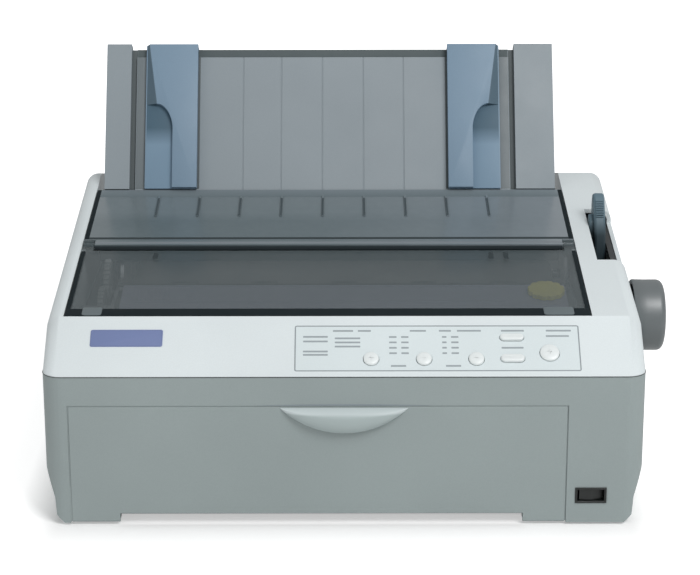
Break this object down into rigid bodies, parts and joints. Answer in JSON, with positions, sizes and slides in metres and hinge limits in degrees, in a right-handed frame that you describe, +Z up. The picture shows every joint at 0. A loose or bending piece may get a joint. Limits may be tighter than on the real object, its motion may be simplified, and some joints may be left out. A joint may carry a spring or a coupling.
{
  "type": "dot matrix printer",
  "caption": "Desktop impact printer with a two-part smoked top cover, pull-down front door, leaning sheet guide, platen knob and full print mechanism.",
  "frame": {"origin": "on the table under the middle of the box of the whole printer", "axes": "+X to the right of the user, +Y to the back, +Z up"},
  "size_m": [0.414, 0.35, 0.2649],
  "materials": {
    "case_grey": "fine spark-eroded grain, cool mid grey",
    "case_light": "fine grain, cool light grey",
    "foot_rubber": "matt moulded rubber",
    "screw_steel": "zinc plated",
    "smoke_window": "clear smoked, polished",
    "smoke_cover": "smoked, polished",
    "guide_grey": "fine grain, mid grey",
    "guide_blue": "fine grain, grey blue",
    "panel_light": "satin film, light grey",
    "board_green": "solder mask",
    "board_amber": "bare laminate",
    "badge_blue": "plain blue foil plate",
    "button_white": "satin",
    "switch_black": "satin black",
    "lever_blue": "satin, dark slate blue",
    "black_plastic": "fine grain, black",
    "knob_grey": "satin, mid grey",
    "platen_rubber": "ground rubber",
    "gear_plastic": "natural acetal",
    "pinion_brass": "machined",
    "rod_steel": "ground and polished",
    "sheet_steel": "zinc coated sheet",
    "motor_metal": "dull metal can",
    "belt_rubber": "toothed belt",
    "head_metal": "black finned metal",
    "cartridge_grey": "fine grain, violet grey",
    "knob_olive": "satin, olive yellow",
    "port_metal": "plated shells"
  },
  "bodies": {
    "case": {"lower_case": "case_grey", "upper_case": "case_light", "rubber_feet": "foot_rubber", "case_screws": "screw_steel", "control_panel": "panel_light", "control_board": "board_green", "badge_plate": "badge_blue", "power_switch_housing": "switch_black", "lever_guide": "black_plastic", "base_frame": "sheet_steel", "side_frame_left": "sheet_steel", "side_frame_right": "sheet_steel", "paper_plate": "sheet_steel", "feed_motor": "motor_metal", "carriage_motor": "motor_metal", "drive_belt": "belt_rubber", "carriage_rod": "rod_steel", "carriage_rail": "sheet_steel", "ribbon_cartridge": "cartridge_grey", "tractor_bar": "rod_steel", "main_board": "board_green", "power_supply": "board_amber", "ac_inlet": "black_plastic", "interface_ports": "port_metal"},
    "front_door": {"front_door": "case_grey"},
    "rear_cover": {"rear_cover": "smoke_cover"},
    "cover_window": {"cover_window": "smoke_window"},
    "paper_guide": {"paper_guide": "guide_grey"},
    "edge_guide_left": {"edge_guide_left": "guide_blue"},
    "edge_guide_right": {"edge_guide_right": "guide_blue"},
    "button_round_1": {"button_round_1": "button_white"},
    "button_round_2": {"button_round_2": "button_white"},
    "button_round_3": {"button_round_3": "button_white"},
    "button_oblong_upper": {"button_oblong_upper": "button_white"},
    "button_oblong_lower": {"button_oblong_lower": "button_white"},
    "button_large": {"button_large": "button_white"},
    "power_rocker": {"power_rocker": "switch_black"},
    "release_lever": {"release_lever": "lever_blue", "release_shaft": "rod_steel"},
    "platen": {"platen_roller": "platen_rubber", "platen_shaft": "rod_steel", "platen_knob": "knob_grey", "platen_gear": "gear_plastic"},
    "reduction_gear": {"reduction_gear": "gear_plastic"},
    "motor_pinion": {"motor_pinion": "pinion_brass"},
    "transfer_gear_1": {"transfer_gear_1": "gear_plastic"},
    "transfer_gear_2": {"transfer_gear_2": "gear_plastic"},
    "transfer_gear_3": {"transfer_gear_3": "gear_plastic"},
    "tractor_shaft": {"tractor_shaft": "rod_steel"},
    "tractor_left": {"tractor_left": "black_plastic"},
    "tractor_right": {"tractor_right": "black_plastic"},
    "tractor_flap_left": {"tractor_flap_left": "black_plastic"},
    "tractor_flap_right": {"tractor_flap_right": "black_plastic"},
    "carriage": {"carriage": "black_plastic", "print_head": "head_metal"},
    "carriage_pulley": {"carriage_pulley": "gear_plastic"},
    "idler_pulley": {"idler_pulley": "gear_plastic"},
    "ribbon_knob": {"ribbon_knob": "knob_olive"},
    "paper_bail": {"paper_bail": "rod_steel"},
    "gap_lever": {"gap_lever": "lever_blue"}
  },
  "joints": [
    {"name": "door_hinge", "type": "hinge", "parent": "case", "child": "front_door", "pos_m": [-0.029, -0.1615, 0.0074], "axis": [1, 0, 0], "range_deg": [0, 84]},
    {"name": "rear_cover_hinge", "type": "hinge", "parent": "case", "child": "rear_cover", "pos_m": [-0.0227, 0.073, 0.15614], "axis": [-1, 0, 0], "range_deg": [0, 85]},
    {"name": "window_hinge", "type": "hinge", "parent": "rear_cover", "child": "cover_window", "pos_m": [-0.0227, -0.01428, 0.14723], "axis": [-1, 0, 0], "range_deg": [0, 75]},
    {"name": "paper_guide_hinge", "type": "hinge", "parent": "case", "child": "paper_guide", "pos_m": [-0.0226, 0.091, 0.153], "axis": [-1, 0, 0], "range_deg": [0, 60]},
    {"name": "edge_guide_left_slide", "type": "slide", "parent": "paper_guide", "child": "edge_guide_left", "axis": [1, 0, 0], "range_m": [-0.0065, 0.055]},
    {"name": "edge_guide_right_slide", "type": "slide", "parent": "paper_guide", "child": "edge_guide_right", "axis": [1, 0, 0], "range_m": [-0.055, 0.0065]},
    {"name": "button_round_1_press", "type": "slide", "parent": "case", "child": "button_round_1", "axis": [0, 0.6143, -0.7891], "range_m": [0, 0.001], "stiffness_N_per_m": 400},
    {"name": "button_round_2_press", "type": "slide", "parent": "case", "child": "button_round_2", "axis": [0, 0.6143, -0.7891], "range_m": [0, 0.001], "stiffness_N_per_m": 400},
    {"name": "button_round_3_press", "type": "slide", "parent": "case", "child": "button_round_3", "axis": [0, 0.6143, -0.7891], "range_m": [0, 0.001], "stiffness_N_per_m": 400},
    {"name": "button_oblong_upper_press", "type": "slide", "parent": "case", "child": "button_oblong_upper", "axis": [0, 0.6143, -0.7891], "range_m": [0, 0.001], "stiffness_N_per_m": 400},
    {"name": "button_oblong_lower_press", "type": "slide", "parent": "case", "child": "button_oblong_lower", "axis": [0, 0.6143, -0.7891], "range_m": [0, 0.001], "stiffness_N_per_m": 400},
    {"name": "button_large_press", "type": "slide", "parent": "case", "child": "button_large", "axis": [0, 0.6143, -0.7891], "range_m": [0, 0.001], "stiffness_N_per_m": 400},
    {"name": "power_rocker_tilt", "type": "hinge", "parent": "case", "child": "power_rocker", "pos_m": [0.1487, -0.162, 0.0206], "axis": [0, 0, -1], "range_deg": [0, 14]},
    {"name": "release_lever_swing", "type": "hinge", "parent": "case", "child": "release_lever", "pos_m": [0.1706, 0.013, 0.118], "axis": [1, 0, 0], "range_deg": [0, 30]},
    {"name": "platen_spin", "type": "hinge", "parent": "case", "child": "platen", "pos_m": [-0.012, -0.06, 0.11], "axis": [1, 0, 0], "continuous": true},
    {"name": "reduction_gear_spin", "type": "hinge", "parent": "case", "child": "reduction_gear", "pos_m": [-0.173, -0.03219, 0.08667], "axis": [1, 0, 0], "continuous": true},
    {"name": "motor_pinion_spin", "type": "hinge", "parent": "case", "child": "motor_pinion", "pos_m": [-0.173, -0.01375, 0.07602], "axis": [1, 0, 0], "continuous": true},
    {"name": "transfer_gear_1_spin", "type": "hinge", "parent": "case", "child": "transfer_gear_1", "pos_m": [-0.178, -0.0134, 0.11097], "axis": [1, 0, 0], "continuous": true},
    {"name": "transfer_gear_2_spin", "type": "hinge", "parent": "case", "child": "transfer_gear_2", "pos_m": [-0.178, 0.0395, 0.11206], "axis": [1, 0, 0], "continuous": true},
    {"name": "transfer_gear_3_spin", "type": "hinge", "parent": "case", "child": "transfer_gear_3", "pos_m": [-0.178, 0.0924, 0.11316], "axis": [1, 0, 0], "continuous": true},
    {"name": "tractor_shaft_spin", "type": "hinge", "parent": "case", "child": "tractor_shaft", "pos_m": [-0.012, 0.133, 0.114], "axis": [1, 0, 0], "continuous": true},
    {"name": "tractor_left_slide", "type": "slide", "parent": "case", "child": "tractor_left", "axis": [1, 0, 0], "range_m": [-0.012, 0.06]},
    {"name": "tractor_right_slide", "type": "slide", "parent": "case", "child": "tractor_right", "axis": [1, 0, 0], "range_m": [-0.06, 0.018]},
    {"name": "tractor_flap_left_hinge", "type": "hinge", "parent": "tractor_left", "child": "tractor_flap_left", "pos_m": [-0.15, 0.141, 0.1296], "axis": [0, -1, 0], "range_deg": [0, 100]},
    {"name": "tractor_flap_right_hinge", "type": "hinge", "parent": "tractor_right", "child": "tractor_flap_right", "pos_m": [0.118, 0.141, 0.1296], "axis": [0, 1, 0], "range_deg": [0, 100]},
    {"name": "carriage_travel", "type": "slide", "parent": "case", "child": "carriage", "axis": [1, 0, 0], "range_m": [-0.018, 0.218]},
    {"name": "carriage_pulley_spin", "type": "hinge", "parent": "case", "child": "carriage_pulley", "pos_m": [-0.152, -0.091, 0.07], "axis": [0, 1, 0], "range_deg": [-119, 1429]},
    {"name": "idler_pulley_spin", "type": "hinge", "parent": "case", "child": "idler_pulley", "pos_m": [0.128, -0.091, 0.07], "axis": [0, 1, 0], "range_deg": [-119, 1429]},
    {"name": "ribbon_knob_turn", "type": "hinge", "parent": "case", "child": "ribbon_knob", "pos_m": [0.1245, -0.08129, 0.13349], "axis": [0, -0.1468, 0.9892], "continuous": true},
    {"name": "paper_bail_lift", "type": "hinge", "parent": "case", "child": "paper_bail", "pos_m": [-0.012, -0.027, 0.116], "axis": [-1, 0, 0], "range_deg": [0, 25]},
    {"name": "gap_lever_swing", "type": "hinge", "parent": "case", "child": "gap_lever", "pos_m": [0.1475, -0.105, 0.084], "axis": [-1, 0, 0], "range_deg": [0, 20]}
  ],
  "couplings": [
    {"joint": "reduction_gear_spin", "follows": "platen_spin", "ratio": -1.2308},
    {"joint": "motor_pinion_spin", "follows": "platen_spin", "ratio": 4},
    {"joint": "transfer_gear_1_spin", "follows": "platen_spin", "ratio": -0.76191},
    {"joint": "transfer_gear_2_spin", "follows": "platen_spin", "ratio": 0.76191},
    {"joint": "transfer_gear_3_spin", "follows": "platen_spin", "ratio": -0.76191},
    {"joint": "tractor_shaft_spin", "follows": "platen_spin", "ratio": 1.4545},
    {"joint": "carriage_pulley_spin", "follows": "carriage_travel", "rad_per_m": 114.29},
    {"joint": "idler_pulley_spin", "follows": "carriage_travel", "rad_per_m": 114.29}
  ]
}
